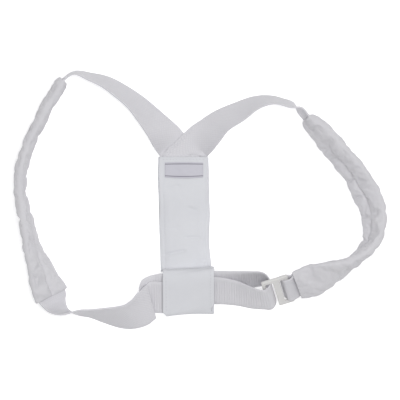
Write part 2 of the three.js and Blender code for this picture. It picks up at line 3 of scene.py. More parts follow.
import bmesh
import bpy
from mathutils import Matrix, Vector, noise
from mathutils.bvhtree import BVHTree


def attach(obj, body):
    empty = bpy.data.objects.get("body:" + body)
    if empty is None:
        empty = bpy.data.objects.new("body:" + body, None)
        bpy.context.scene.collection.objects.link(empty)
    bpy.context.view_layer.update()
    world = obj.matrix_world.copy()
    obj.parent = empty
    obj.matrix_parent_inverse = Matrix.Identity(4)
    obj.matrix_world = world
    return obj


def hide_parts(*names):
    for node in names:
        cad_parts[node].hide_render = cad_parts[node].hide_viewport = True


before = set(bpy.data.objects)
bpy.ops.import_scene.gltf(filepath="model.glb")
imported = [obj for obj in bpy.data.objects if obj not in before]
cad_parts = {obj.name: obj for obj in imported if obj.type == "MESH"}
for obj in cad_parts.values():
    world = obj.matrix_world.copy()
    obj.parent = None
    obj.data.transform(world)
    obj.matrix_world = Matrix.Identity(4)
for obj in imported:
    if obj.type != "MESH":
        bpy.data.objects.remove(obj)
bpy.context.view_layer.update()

mm = 0.001
print("frame loaded with", len(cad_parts), "nodes")

# The brace lies open on a table. Tables and sizes are in millimetres, as in the solids.

spans = {"left": 189, "right": 219, "rise": 160, "drop": 120}
tape = {"width": 38, "webbing": 2, "elastic": 1.8, "gap": 0.3, "clear": 0.05}
padSize = {"width": 45.5, "thick": 15, "endRound": 7}
panelSize = {"width": 58.94, "layer": 1.5, "thick": 5, "pocket": 10.5, "strapIn": 7.5}
tiny = 1e-9              # keeps a division off zero


def west(share):
    return -share * spans["left"]


def east(share):
    return share * spans["right"]


def north(share):
    return share * spans["rise"]


def south(share):
    return -share * spans["drop"]


def table(columns, rows):
    return [dict(zip(columns, row)) for row in rows]


def mix(low, high, share):
    return low + (high - low) * share


def clamp(value, low=0.0, high=1.0):
    return max(low, min(high, value))


def smooth(low, high, value):
    share = clamp((value - low) / (high - low))
    return share * share * (3 - 2 * share)


panelTop = north(0.397)
panelEnd = south(0.573)
leftBase = panelSize["layer"] + tape["gap"]
rightBase = leftBase + tape["webbing"] + tape["gap"]
mouthThick = rightBase + tape["webbing"] + tape["gap"] + panelSize["layer"]
onFloor = tape["elastic"] / 2 + tape["clear"]

# Tilt 0 lies flat with its outer face up, 90 stands on edge, more shows the inner face.
routeColumns = ("x", "y", "tilt", "skew", "lift", "padded")

leftRoute = {
    "inward": 1,
    "base": leftBase,
    "padFrom": 10,
    "padTo": 26,
    "rows": table(routeColumns, [
        (0, panelTop - panelSize["strapIn"], 0, 0, 1, 0),
        (0, panelTop, 0, 45, 1, 0),
        (west(0.04), north(0.442), 0, 22, 1, 0),
        (west(0.077), north(0.489), 0, 0, 1, 0),
        (west(0.154), north(0.605), 33, 0, 0.3, 0),
        (west(0.286), north(0.775), 55, 0, 0, 0),
        (west(0.397), north(0.876), 63, 0, 0, 0),
        (west(0.48), north(0.935), 69, 0, 0, 0),
        (west(0.567), north(0.97), 76, 0, 0, 0),
        (west(0.664), north(1), 84, 0, 0, 0),
        (west(0.733), north(0.949), 85, 0, 0, 1),
        (west(0.773), north(0.875), 84, 0, 0, 1),
        (west(0.828), north(0.769), 85, 0, 0, 1),
        (west(0.872), north(0.658), 88, 0, 0, 1),
        (west(0.925), north(0.537), 90, 0, 0, 1),
        (west(0.961), north(0.431), 90, 0, 0, 1),
        (west(0.992), north(0.28), 90, 0, 0, 1),
        (west(0.995), north(0.158), 91, 0, 0, 1),
        (west(0.981), north(0.055), 92, 0, 0, 1),
        (west(0.961), south(0.079), 97, 0, 0, 1),
        (west(0.937), south(0.243), 102, 0, 0, 1),
        (west(0.917), south(0.355), 109, 0, 0, 1),
        (west(0.883), south(0.494), 121, 0, 0, 1),
        (west(0.86), south(0.589), 130, 0, 0, 1),
        (west(0.846), south(0.671), 138, 0, 0, 1),
        (west(0.818), south(0.759), 147, 0, 0, 1),
        (west(0.803), south(0.807), 149, 0, 0, 1),
        (west(0.778), south(0.88), 132, 0, 0, 0),
        (west(0.736), south(0.939), 108, 0, 0, 0),
        (west(0.691), south(0.96), 91, 0, 0, 0),
        (west(0.633), south(0.965), 80, 0, 0, 0),
        (west(0.572), south(0.971), 76, 0, 0, 0),
        (west(0.481), south(0.99), 63, 0, 0, 0),
        (west(0.389), south(1.004), 49, 0, 0.3, 0),
        (west(0.329), south(0.998), 39, 0, 0.8, 0),
        (west(0.274), south(0.961), 27, 10, 1.2, 0),
        (west(0.231), south(0.903), 20, 22, 1.35, 0),
        (west(0.198), south(0.855), 19, 26, 1.35, 0),
    ]),
}

rightRoute = {
    "inward": -1,
    "base": rightBase,
    "padFrom": 13,
    "padTo": 35,
    "rows": table(routeColumns, [
        (0, panelTop - panelSize["strapIn"], 0, 0, 1, 0),
        (0, panelTop, 0, 45, 1, 0),
        (east(0.032), north(0.442), 0, 22, 1, 0),
        (east(0.062), north(0.485), 0, 0, 1, 0),
        (east(0.129), north(0.572), 28, 0, 0.6, 0),
        (east(0.194), north(0.652), 45, 0, 0.15, 0),
        (east(0.282), north(0.716), 53, 0, 0, 0),
        (east(0.359), north(0.774), 64, 0, 0, 0),
        (east(0.419), north(0.799), 71, 0, 0, 0),
        (east(0.47), north(0.804), 76, 0, 0, 0),
        (east(0.515), north(0.791), 78, 0, 0, 0),
        (east(0.567), north(0.768), 79, 0, 0, 0),
        (east(0.609), north(0.732), 99, 0, 0, 0),
        (east(0.643), north(0.676), 100, 0, 0, 1),
        (east(0.689), north(0.611), 109, 0, 0, 1),
        (east(0.727), north(0.557), 116, 0, 0, 1),
        (east(0.766), north(0.495), 116, 0, 0, 1),
        (east(0.81), north(0.419), 118, 0, 0, 1),
        (east(0.85), north(0.358), 119, 0, 0, 1),
        (east(0.895), north(0.279), 120, 0, 0, 1),
        (east(0.926), north(0.205), 124, 0, 0, 1),
        (east(0.959), north(0.126), 129, 0, 0, 1),
        (east(0.985), north(0.041), 126, 0, 0, 1),
        (east(0.997), south(0.048), 121, 0, 0, 1),
        (east(0.997), south(0.153), 116, 0, 0, 1),
        (east(0.988), south(0.24), 109, 0, 0, 1),
        (east(0.971), south(0.31), 103, 0, 0, 1),
        (east(0.94), south(0.386), 95, 0, 0, 1),
        (east(0.904), south(0.452), 86, 0, 0, 1),
        (east(0.866), south(0.499), 80, 0, 0, 1),
        (east(0.824), south(0.536), 72, 0, 0, 1),
        (east(0.772), south(0.58), 60, 0, 0, 1),
        (east(0.71), south(0.627), 45, 0, 0, 1),
        (east(0.667), south(0.656), 37, 0, 0, 1),
        (east(0.621), south(0.684), 42, 0, 0, 1),
        (east(0.591), south(0.705), 49, 0, 0, 1),
    ]),
}


# Smooth value of one column between its rows.
def rowValue(rows, at, column, closed=False):
    last = len(rows) - 1
    floor = math.floor(at) if closed else min(max(math.floor(at), 0), last - 1)
    share = at - floor
    picks = []
    for offset in (-1, 0, 1, 2):
        index = floor + offset
        index = index % len(rows) if closed else min(max(index, 0), last)
        picks.append(rows[index][column])
    before, start, end, after = picks
    bend = 2 * before - 5 * start + 4 * end - after
    curl = 3 * start - before - 3 * end + after
    return 0.5 * (2 * start + (end - before) * share + bend * share ** 2 + curl * share ** 3)


# Row positions about one step apart.
def spread(rows, start, end, step, closed=False):
    places = []
    for row in range(start, end):
        one, two = rows[row], rows[(row + 1) % len(rows)]
        parts = max(1, round(math.hypot(two["x"] - one["x"], two["y"] - one["y"]) / step))
        places += [row + part / parts for part in range(parts)]
    return places if closed else places + [end]


def strapCentre(route, at):
    value = {name: rowValue(route["rows"], at, name) for name in ("x", "y", "tilt", "lift", "padded")}
    tilt = math.radians(value["tilt"])
    padded = clamp(value["padded"])
    halfWidth = mix(tape["width"], padSize["width"], padded) / 2
    halfThick = mix(tape["webbing"], padSize["thick"], padded) / 2
    height = halfWidth * math.sin(tilt) + halfThick * abs(math.cos(tilt))
    return Vector((value["x"], value["y"], value["lift"] * route["base"] + height))


# Middle, directions and half width of a strap at one row position, normal out of the loop.
def strapFrame(route, at):
    along = strapCentre(route, at + 0.05) - strapCentre(route, at - 0.05)
    along.z = 0
    along.normalize()
    inside = Vector((-along.y, along.x, 0)) * route["inward"]
    tilt = math.radians(rowValue(route["rows"], at, "tilt"))
    skew = math.radians(rowValue(route["rows"], at, "skew"))
    square = inside * math.cos(tilt) + Vector((0, 0, math.sin(tilt)))
    normal = along.cross(square) * route["inward"]
    across = square * math.cos(skew) + along * math.sin(skew)
    return {
        "centre": strapCentre(route, at),
        "along": along,
        "square": square,
        "normal": normal,
        "across": across,
        "reach": tape["width"] / 2 / math.cos(skew),
    }


def edgePair(station):
    side = station["across"] * station["reach"]
    return station["centre"] - side, station["centre"] + side


# Materials are named for the real ones. Colours are sRGB hex.


def linear(hexColour):
    channels = [int(hexColour[place:place + 2], 16) / 255 for place in (1, 3, 5)]
    turned = [c / 12.92 if c <= 0.04045 else ((c + 0.055) / 1.055) ** 2.4 for c in channels]
    return (*turned, 1)


def addNode(tree, kind, settings=None, links=None):
    node = tree.nodes.new(kind)
    for name, value in (settings or {}).items():
        if isinstance(name, int) or name in node.inputs:
            node.inputs[name].default_value = value
        else:
            setattr(node, name, value)
    for name, source in (links or {}).items():
        tree.links.new(source, node.inputs[name])
    return node


# Blender's wave bands repeat every pi / 10 of a unit at scale 1.
def waveScale(pitch):
    return math.pi / 10 / (pitch * mm)


def newMaterial(name):
    material = bpy.data.materials.new(name)
    material.use_nodes = True
    return material, material.node_tree, material.node_tree.nodes["Principled BSDF"]


# Gives the shader a bump, and a colour that runs from the shade to the colour with share.
def tintAndBump(tree, shader, share, shade, colour, bump):
    tint = addNode(tree, "ShaderNodeMix", {"data_type": "RGBA"}, {0: share})
    tint.inputs[6].default_value = linear(shade)
    tint.inputs[7].default_value = linear(colour)
    tree.links.new(tint.outputs[2], shader.inputs["Base Color"])
    tree.links.new(bump.outputs[0], shader.inputs["Normal"])


# A cloth with two crossed thread directions, read from the piece's own UV map in metres.
def clothMaterial(name, cloth):
    material, tree, shader = newMaterial(name)
    shader.inputs["Roughness"].default_value = cloth["roughness"]
    shader.inputs["Sheen Weight"].default_value = cloth["sheen"]
    shader.inputs["Sheen Roughness"].default_value = 0.5
    shader.inputs["IOR"].default_value = 1.5
    uv = addNode(tree, "ShaderNodeUVMap", {"uv_map": "cloth"})
    bands = []
    for angle in cloth["angles"]:
        rotation = {"Rotation": (0, 0, math.radians(angle))}
        turn = addNode(tree, "ShaderNodeMapping", rotation, {"Vector": uv.outputs[0]})
        wave = {
            "Scale": waveScale(cloth["pitch"]), "Distortion": cloth["unevenness"],
            "Detail": 1, "Detail Scale": 0.6,
        }
        bands.append(addNode(tree, "ShaderNodeTexWave", wave, {"Vector": turn.outputs[0]}).outputs["Fac"])
    weave = addNode(tree, "ShaderNodeMath", {"operation": "MULTIPLY"}, {0: bands[0], 1: bands[1]})
    place = addNode(tree, "ShaderNodeTexCoord").outputs["Object"]
    # Loose fibres about 1 mm apart, and clouding about 36 mm across.
    fuzz = addNode(tree, "ShaderNodeTexNoise", {"Scale": 900, "Detail": 2}, {"Vector": place})
    height = addNode(
        tree, "ShaderNodeMath", {"operation": "MULTIPLY_ADD", 1: cloth["fuzz"]},
        {0: fuzz.outputs["Fac"], 2: weave.outputs[0]},
    )
    bump = addNode(
        tree, "ShaderNodeBump", {"Strength": cloth["relief"], "Distance": 0.4 * mm},
        {"Height": height.outputs[0]},
    )
    cloud = addNode(
        tree, "ShaderNodeTexNoise", {"Scale": 28, "Detail": 3, "Roughness": 0.6}, {"Vector": place},
    )
    cloudy = addNode(
        tree, "ShaderNodeMath", {"operation": "MULTIPLY", 1: 1 - cloth["threadTint"]},
        {0: cloud.outputs["Fac"]},
    )
    blend = addNode(
        tree, "ShaderNodeMath", {"operation": "MULTIPLY_ADD", 1: cloth["threadTint"]},
        {0: weave.outputs[0], 2: cloudy.outputs[0]},
    )
    tintAndBump(tree, shader, blend.outputs[0], cloth["shade"], cloth["colour"], bump)
    return material


# A pitch is the distance between threads in mm. Real ones are finer, and all are drawn
# as coarse as they need to be to show.
# Polyester webbing, a tight diagonal weave with a faint sheen. Its real threads are 1.2 mm apart.
webbingCloth = clothMaterial("polyester webbing", {
    "colour": "#dad9dd", "shade": "#cbcacf", "roughness": 0.75, "sheen": 0.06, "threadTint": 0.6,
    "pitch": 2.2, "angles": (45, -45), "unevenness": 0.3, "relief": 0.5, "fuzz": 0.25,
})
# Brushed cotton-polyester knit over foam: matt, very fine, a little cloudy.
padCloth = clothMaterial("brushed knit pad cover", {
    "colour": "#d4d3d6", "shade": "#c7c6cb", "roughness": 0.93, "sheen": 0.1, "threadTint": 0.15,
    "pitch": 1.3, "angles": (0, 90), "unevenness": 0.9, "relief": 0.18, "fuzz": 0.9,
})
panelCloth = clothMaterial("brushed knit panel cover", {
    "colour": "#d9dade", "shade": "#cfd0d5", "roughness": 0.92, "sheen": 0.08, "threadTint": 0.1,
    "pitch": 1.3, "angles": (0, 90), "unevenness": 1.2, "relief": 0.14, "fuzz": 0.9,
})
# Ribbed elastic: rubber cores under polyester, so it shines a little along each rib.
elasticCloth = clothMaterial("ribbed polyester elastic", {
    "colour": "#dddce0", "shade": "#cccbd0", "roughness": 0.65, "sheen": 0.05, "threadTint": 0.4,
    "pitch": 1.2, "angles": (0, 90), "unevenness": 0.4, "relief": 0.25, "fuzz": 0.3,
})
labelCloth = clothMaterial("woven satin label", {
    "colour": "#c9c8d0", "shade": "#b9b8c2", "roughness": 0.5, "sheen": 0.05, "threadTint": 0.5,
    "pitch": 1.1, "angles": (0, 90), "unevenness": 0.2, "relief": 0.3, "fuzz": 0.1,
})
# The darker yarn that the label's plain border is woven with.
borderCloth = clothMaterial("woven label border", {
    "colour": "#97959f", "shade": "#85838f", "roughness": 0.55, "sheen": 0.05, "threadTint": 0.5,
    "pitch": 0.9, "angles": (30, -30), "unevenness": 0.2, "relief": 0.3, "fuzz": 0.1,
})
# Sewing thread: smooth and tightly spun, lying in a dimple. Its colour is a little darker: painted shade for
# that dimple.
shadedThreadCloth = clothMaterial("spun polyester thread with painted shade", {
    "colour": "#cdccd2", "shade": "#bebdc4", "roughness": 0.6, "sheen": 0.05, "threadTint": 0.3,
    "pitch": 0.8, "angles": (30, -30), "unevenness": 0.2, "relief": 0.2, "fuzz": 0.3,
})


# Acetal, injection moulded: satin and slightly warm beside the cloth, with a fine moulded grain.
def mouldedPlastic():
    material, tree, shader = newMaterial("injection moulded acetal")
    shader.inputs["Roughness"].default_value = 0.38
    shader.inputs["IOR"].default_value = 1.48
    place = addNode(tree, "ShaderNodeTexCoord").outputs["Object"]
    # The grain is 1.4 mm across, coarser than a real one, and the clouding 17 mm.
    grain = addNode(tree, "ShaderNodeTexNoise", {"Scale": 700, "Detail": 2}, {"Vector": place})
    bump = addNode(
        tree, "ShaderNodeBump", {"Strength": 0.12, "Distance": 0.2 * mm},
        {"Height": grain.outputs["Fac"]},
    )
    cloud = addNode(tree, "ShaderNodeTexNoise", {"Scale": 60, "Detail": 1}, {"Vector": place})
    tintAndBump(tree, shader, cloud.outputs["Fac"], "#d0cfce", "#dad9d8", bump)
    return material


hookPlastic = mouldedPlastic()
print("materials made")


# Turns a bmesh into a piece, smooth shaded all over.
def makePiece(name, bm, material, slotName, *nodes):
    mesh = bpy.data.meshes.new(name)
    bm.to_mesh(mesh)
    bm.free()
    mesh.materials.append(material)
    mesh.polygons.foreach_set("use_smooth", [True] * len(mesh.polygons))
    piece = bpy.data.objects.new(name, mesh)
    bpy.context.scene.collection.objects.link(piece)
    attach(piece, "root")
    if nodes:
        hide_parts(*nodes)
    return piece


def thicken(piece, thick, edge, segments=2):
    wall = piece.modifiers.new("thickness", "SOLIDIFY")
    wall.thickness = thick * mm
    wall.offset = 0
    rounding = piece.modifiers.new("rounded edge", "BEVEL")
    rounding.width = edge * mm
    rounding.segments = segments
    rounding.limit_method = "ANGLE"
    rounding.angle_limit = math.radians(60)


# A grid of cloth. Place gives each corner's point in mm, from its row and its share across,
# and the UV map runs in metres along the rows and across them. Hold is a function that tells
# how firmly a corner is sewn, with the table that takes the answers.
def clothGrid(rowCount, columns, place, lengths, width, closed=False, hold=None):
    bm = bmesh.new()
    bmesh.ops.create_grid(bm, x_segments=rowCount - 1, y_segments=columns, size=0.5)
    uvLayer = bm.loops.layers.uv.new("cloth")
    spots = {}
    for vert in bm.verts:
        spots[vert.index] = (round((vert.co.x + 0.5) * (rowCount - 1)), vert.co.y + 0.5)
    for face in bm.faces:
        for loop in face.loops:
            row, share = spots[loop.vert.index]
            loop[uvLayer].uv = (lengths[row] * mm, share * width * mm)
    for vert in bm.verts:
        row, share = spots[vert.index]
        vert.co = place(row, share) * mm
    if hold:
        weight = bm.verts.layers.float.new("hold")
        for vert in bm.verts:
            vert[weight] = hold[0](*spots[vert.index])
    if closed:
        bmesh.ops.remove_doubles(bm, verts=bm.verts, dist=1e-6)
    if hold:
        bm.verts.index_update()
        hold[1].update({vert.index: vert[weight] for vert in bm.verts})
    return bm


def runLengths(points):
    lengths = [0]
    for one, two in zip(points, points[1:]):
        lengths.append(lengths[-1] + (two - one).length)
    return lengths


# Normal of a band at one pair of edge points, from the pairs on either side of it.
def bandNormal(before, here, after):
    run = (after[0] + after[1]) - (before[0] + before[1])
    return run.cross(here[1] - here[0]).normalized()


# A share of the way round a sleeve gives its side, 1 or -1, and its width from -1 to 1.
# With more crowding, more of the corners lie near the edges.
def sleeveSpot(share, crowding):
    side = 1 if share < 0.5 else -1
    turn = (share if share < 0.5 else 1 - share) * 2
    return side, mix(2 * turn - 1, -math.cos(math.pi * turn), crowding)


def closeEnds(bm):
    ends = [edge for edge in bm.edges if edge.is_boundary]
    bmesh.ops.holes_fill(bm, edges=ends, sides=0)
    bmesh.ops.recalc_face_normals(bm, faces=bm.faces)


stitchLook = {"long": 2.6, "pitch": 3.8, "thick": 0.55, "sunk": 0.1}


# One row of stitches. Points and ups run along the seam in mm, on the cloth's face.
def sewRow(bm, points, ups):
    lengths = runLengths(points)
    count = int(lengths[-1] / stitchLook["pitch"])
    for part in range(count):
        goal = (part + 0.5) * stitchLook["pitch"]
        index = max(i for i, length in enumerate(lengths) if length <= goal)
        index = min(index, len(points) - 2)
        span = max(lengths[index + 1] - lengths[index], tiny)
        share = (goal - lengths[index]) / span
        along = (points[index + 1] - points[index]).normalized()
        up = ups[index].lerp(ups[index + 1], share).normalized()
        side = up.cross(along).normalized()
        turn = Matrix((along, side, along.cross(side))).transposed().to_4x4()
        size = (stitchLook["long"] / 2, stitchLook["thick"] / 2, stitchLook["thick"] / 2, 1)
        spot = points[index].lerp(points[index + 1], share) - up * stitchLook["sunk"]
        matrix = Matrix.Scale(mm, 4) @ Matrix.Translation(spot) @ turn @ Matrix.Diagonal(size)
        bmesh.ops.create_icosphere(bm, subdivisions=1, radius=1, matrix=matrix)


def makeSeams(name, slotName, rows):
    bm = bmesh.new()
    bm.loops.layers.uv.new("cloth")
    for points, ups in rows:
        sewRow(bm, points, ups)
    makePiece(name, bm, shadedThreadCloth, slotName)


# Shoulder straps: webbing through the pads.

strapLook = {
    "step": 3, "columns": 10, "thick": 1.9, "edge": 0.6, "ripple": 0.25, "rippleLong": 45,
    "yokeSeams": (0.07, 0.12),
}

hookLook = {
    "thick": 4, "arm": 4.7, "midBar": 8, "endBar": 5, "openBar": 4, "webbingSlot": 5.5,
    "elasticSlot": 9, "slotSpare": 1.6, "heading": 17.5, "tilt": 51, "edge": 0.9,
    "corner": 1.6, "tipShort": 0.5,
}
slotHalf = (tape["width"] + hookLook["slotSpare"]) / 2
hookHalf = slotHalf + hookLook["arm"]
hookTilt = math.radians(hookLook["tilt"])
hookHeading = math.radians(hookLook["heading"])
hookCentre = Vector((
    east(0.498), south(0.759),
    hookHalf * math.sin(hookTilt) + hookLook["thick"] / 2 * math.cos(hookTilt) + tape["clear"],
))
hookAlong = Vector((math.cos(hookHeading), math.sin(hookHeading), 0))
hookAcross = Vector((-hookAlong.y, hookAlong.x, 0)) * math.cos(hookTilt) + Vector((0, 0, math.sin(hookTilt)))
hookFront = hookAlong.cross(hookAcross)
slotStart = hookLook["midBar"] / 2
slotEnd = slotStart + hookLook["webbingSlot"]
frameEnd = slotEnd + hookLook["endBar"]
openInner = -slotStart - hookLook["elasticSlot"]
openOuter = openInner - hookLook["openBar"]
padAtHook = (Vector((east(0.591), south(0.705), 0)) - Vector((hookCentre.x, hookCentre.y, 0))).dot(hookAlong)


def hookPoint(along, front):
    return hookCentre + hookAlong * along + hookFront * front


# The right strap goes in front of the end bar, round it and back into its pad.
def turnStations():
    wrap = hookLook["thick"] / 2 + tape["gap"] + tape["webbing"] / 2 + 0.1
    meet = (tape["webbing"] + tape["gap"]) / 2
    between = (padAtHook + frameEnd) / 2
    # The turn sags back under the slot, so the slot shows shaded webbing.
    places = [
        (between, (wrap + meet) / 2), (frameEnd, wrap), (slotEnd + 1, wrap),
        (slotEnd - 0.6, wrap * 0.85), (slotEnd - 1.5, wrap * 0.3), (slotEnd - 2.1, -wrap * 0.35),
        (slotStart + 1.9, -wrap * 0.95), (slotStart + 1.4, -wrap * 1.3), (slotStart + 2.2, -wrap * 1.6),
        (slotEnd - 0.5, -wrap * 1.55), (slotEnd + 1.5, -wrap * 1.25), (frameEnd, -wrap * 1.02),
        (between, -(wrap + meet) / 2),
    ]
    return [
        {"centre": hookPoint(*place), "across": hookAcross, "reach": tape["width"] / 2}
        for place in places
    ]


def tailStations():
    last = len(rightRoute["rows"]) - 1
    ends = [strapFrame(rightRoute, last - back) for back in (0, 1, 2, 2.5)]
    step = tape["webbing"] + tape["gap"]
    return [
        {"centre": end["centre"] - end["normal"] * step, "across": end["square"], "reach": tape["width"] / 2}
        for end in ends
    ]


def makeStrap(name, stations, node):
    pairs = [edgePair(station) for station in stations]
    lengths = runLengths([(foot + rim) / 2 for foot, rim in pairs])

    def place(row, share):
        foot, rim = pairs[row]
        normal = bandNormal(pairs[max(row - 1, 0)], pairs[row], pairs[min(row + 1, len(pairs) - 1)])
        wave = noise.noise(Vector((lengths[row] / strapLook["rippleLong"], share * 0.8, 3.1)))
        return foot.lerp(rim, share) + normal * wave * strapLook["ripple"]

    bm = clothGrid(len(pairs), strapLook["columns"], place, lengths, tape["width"])
    piece = makePiece(name, bm, webbingCloth, "webbing", node)
    thicken(piece, strapLook["thick"], strapLook["edge"])
    print(name, "length", round(lengths[-1]), "mm")


def strapStations(route):
    places = spread(route["rows"], 0, len(route["rows"]) - 1, strapLook["step"])
    return [strapFrame(route, at) for at in places]


def upperNormal(station):
    return station["normal"] if station["normal"].z > 0 else -station["normal"]


# Thread along a strap, at a share of its width, on the face that points up.
def strapSeam(stations, share):
    points, ups = [], []
    for station in stations:
        foot, rim = edgePair(station)
        ups.append(upperNormal(station))
        points.append(foot.lerp(rim, share) + ups[-1] * strapLook["thick"] / 2)
    return points, ups


# Thread across a strap, in ten equal steps.
def crossSeam(station):
    foot, rim = edgePair(station)
    up = upperNormal(station)
    points = [foot.lerp(rim, share / 10) + up * strapLook["thick"] / 2 for share in range(1, 10)]
    return points, [up] * len(points)


leftStations = strapStations(leftRoute)
rightStations = strapStations(rightRoute) + turnStations() + tailStations()
makeStrap("left_shoulder_webbing", leftStations, "shoulder_strap_left")
makeStrap("right_shoulder_webbing", rightStations, "shoulder_strap_right")
# The yoke's seam runs from just below the panel's top edge along the right strap's first bend.
yokeStations = [strapFrame(rightRoute, 0.9 + 0.2 * part) for part in range(14)]
makeSeams("yoke_stitches", "webbing", [strapSeam(yokeStations, share) for share in strapLook["yokeSeams"]])
makeSeams("webbing_end_stitches", "webbing", [crossSeam(leftStations[-2]), crossSeam(leftStations[-4])])

# Shoulder pads: quilted sleeves of two filled tubes with a sewn channel.

padLook = {
    "step": 2, "around": 72, "crowding": 0.6, "slotHalf": 19.4, "slotNarrow": 0.97, "mouthDepth": 9,
    "channel": 0.3, "bulge": 0.93, "fadeStart": (0.1, 0.28), "fadeEnd": (0.7, 0.85),
    "quilt": 38, "quiltDrift": 0.8, "quiltShift": 0.31, "quiltThin": 0.15, "quiltNarrow": 0.04,
    "crease": 0.16, "creaseLong": 9, "creaseSharp": 3.2, "taper": 10,
    "sewnHalf": 0.06, "selvedge": 0.965, "threadLift": 0.2,
}
# Ends, mouths and fades are pairs, for the upper end and the lower one. Fades tell how much
# of the channel runs out there.
leftPad = {"seed": 11.3, "ends": (0.75, 0.7), "taper": 0.04, "mouths": (1.3, 1.3), "fades": (0, 0)}
rightPad = {"seed": 42.7, "ends": (0.6, 0.95), "taper": 0.12, "mouths": (1.3, 3.5), "fades": (0.6, 1)}

clothRun = {"frames": 20, "pressure": 4, "grow": -0.05, "cap": 5, "pull": 11, "bend": 0.4}


# Fills the pad's cover with air as cloth. Its seams stay put and the cloth between them
# swells and puckers. No corner moves further than the cap.
def inflate(bm, sewn):
    bm.verts.index_update()
    mesh = bpy.data.meshes.new("cover being filled")
    bm.to_mesh(mesh)
    cover = bpy.data.objects.new("cover being filled", mesh)
    scene = bpy.context.scene
    scene.collection.objects.link(cover)
    group = cover.vertex_groups.new(name="sewn")
    for index, weight in sewn.items():
        group.add([index], weight, "REPLACE")
    cloth = cover.modifiers.new("filling", "CLOTH")
    cloth.settings.vertex_group_mass = "sewn"
    cloth.settings.use_pressure = True
    cloth.settings.uniform_pressure_force = clothRun["pressure"]
    cloth.settings.effector_weights.gravity = 0
    cloth.settings.shrink_min = clothRun["grow"]
    cloth.settings.tension_stiffness = clothRun["pull"]
    cloth.settings.compression_stiffness = clothRun["pull"]
    cloth.settings.bending_stiffness = clothRun["bend"]
    cloth.collision_settings.use_collision = False
    cloth.point_cache.frame_start = 1
    cloth.point_cache.frame_end = clothRun["frames"]
    for frameNumber in range(1, clothRun["frames"] + 1):
        scene.frame_set(frameNumber)
    filled = cover.evaluated_get(bpy.context.evaluated_depsgraph_get()).to_mesh()
    cap = clothRun["cap"] * mm
    for vert in bm.verts:
        move = filled.vertices[vert.index].co - vert.co
        vert.co += move * min(1, cap / max(move.length, tiny))
    bpy.data.objects.remove(cover)
    scene.frame_set(1)


# A dent is a cross crease in one face of one tube. Along and reach are shares of the pad's
# length, depth a share of its half thickness, tube 1 the raised one, face 1 the outside.
dentColumns = ("along", "tube", "face", "depth", "reach")
leftDents = table(dentColumns, [
    (0.14, 1, -1, 0.3, 0.02), (0.34, 1, 1, 0.35, 0.02), (0.38, 1, -1, 0.3, 0.02),
    (0.55, -1, 1, 0.3, 0.03), (0.73, 1, 1, 0.35, 0.02), (0.86, -1, -1, 0.25, 0.02),
    (0.26, 1, 1, 0.4, 0.008), (0.45, 1, 1, 0.45, 0.008), (0.64, 1, 1, 0.45, 0.008),
    (0.3, -1, 1, 0.35, 0.008),
])
rightDents = table(dentColumns, [
    (0.14, 1, -1, 0.35, 0.02), (0.2, -1, -1, 0.4, 0.02), (0.26, 1, -1, 0.35, 0.015),
    (0.36, 1, -1, 0.35, 0.02), (0.46, -1, -1, 0.35, 0.02), (0.58, 1, -1, 0.4, 0.015),
    (0.72, 1, 1, 0.3, 0.02), (0.84, 1, 1, 0.25, 0.02),
    (0.5, 1, -1, 0.55, 0.008), (0.51, -1, -1, 0.6, 0.008), (0.62, 1, -1, 0.55, 0.008),
    (0.63, -1, -1, 0.5, 0.008), (0.3, 1, -1, 0.4, 0.008), (0.33, -1, -1, 0.45, 0.008),
    (0.41, -1, -1, 0.45, 0.008),
])


# How thick the two tubes are at a width from -1 to 1, as a share of their middles.
def tubeShare(width, channel):
    fromTube = (abs(width) - 0.5) / 0.5
    roundness = math.sqrt(max(0, 1 - fromTube ** 2))
    return channel + (1 - channel) * roundness if abs(width) < 0.5 else roundness


def channelFade(pad, along):
    start = pad["fades"][0] * (1 - smooth(*padLook["fadeStart"], along))
    return max(pad["fades"][1] * smooth(*padLook["fadeEnd"], along), start)


